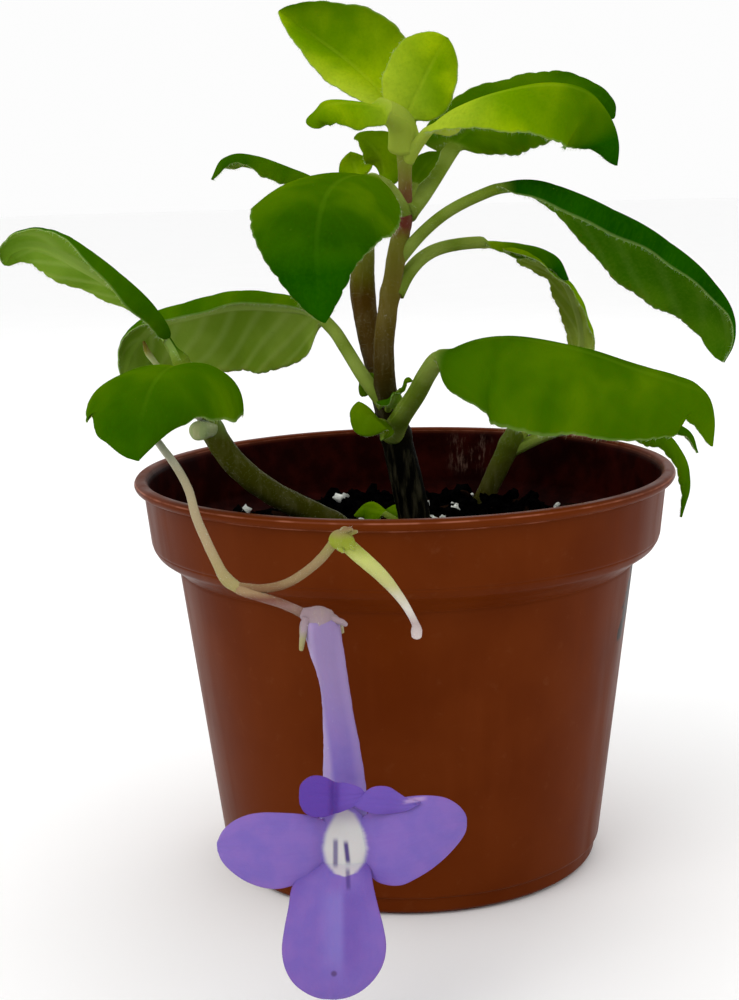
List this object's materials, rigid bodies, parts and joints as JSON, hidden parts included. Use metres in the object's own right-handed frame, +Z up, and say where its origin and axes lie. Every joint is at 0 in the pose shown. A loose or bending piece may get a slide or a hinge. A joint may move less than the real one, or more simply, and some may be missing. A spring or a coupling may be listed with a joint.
{
  "type": "potted cape primrose",
  "caption": "Young caulescent cape primrose with hairy scalloped leaves and a hanging violet bloom, in a round brown plastic nursery pot of potting mix.",
  "frame": {"origin": "centre of the pot's foot, on the surface that it stands on", "axes": "+Z up along the pot's axis; -Y towards the viewer of the picture, where the bloom hangs over the rim; +X to that viewer's right"},
  "size_m": [0.1177, 0.123, 0.1433],
  "materials": {
    "pot_plastic": "satin",
    "potting_mix": "matte",
    "old_stem": "matte",
    "young_stem": "matte",
    "old_leaf": "satin",
    "young_leaf": "satin",
    "flower_stalk": "matte",
    "dry_tissue": "matte",
    "calyx_green": "matte",
    "corolla_violet": "satin",
    "pistil_pale": "satin"
  },
  "bodies": {
    "root": {"pot": "pot_plastic", "soil": "potting_mix", "main_stem": "old_stem", "left_stem": "young_stem", "right_stem": "young_stem", "rear_shoot": "old_stem", "cut_shoot": "young_stem", "dried_stalk": "dry_tissue", "flower_stalk": "flower_stalk", "spent_flower_stalk": "flower_stalk", "open_flower_stalk": "flower_stalk", "spent_pistil": "pistil_pale", "spent_flower_calyx": "calyx_green", "open_flower_calyx": "calyx_green", "corolla": "corolla_violet", "leaf_crown_left": "young_leaf", "leaf_crown_small": "young_leaf", "leaf_upper_left": "young_leaf", "leaf_upper_right": "young_leaf", "leaf_rear_right": "old_leaf", "leaf_axil_rear": "young_leaf", "leaf_mid_small": "young_leaf", "leaf_mid_rear": "young_leaf", "leaf_mid_left": "old_leaf", "leaf_front_left": "old_leaf", "leaf_far_left": "old_leaf", "leaf_rear_left": "old_leaf", "leaf_low_left": "old_leaf", "leaf_high_right": "old_leaf", "leaf_thin_right": "old_leaf", "leaf_curled_right": "old_leaf", "leaf_low_right": "old_leaf", "leaf_rim_front": "old_leaf", "leaf_rim_rear": "old_leaf", "leaf_base_round": "young_leaf", "leaf_base_tiny": "young_leaf", "leaf_axil_left": "young_leaf", "leaf_axil_right": "young_leaf", "leaf_soil_left": "young_leaf", "leaf_soil_right": "young_leaf"}
  },
  "joints": []
}
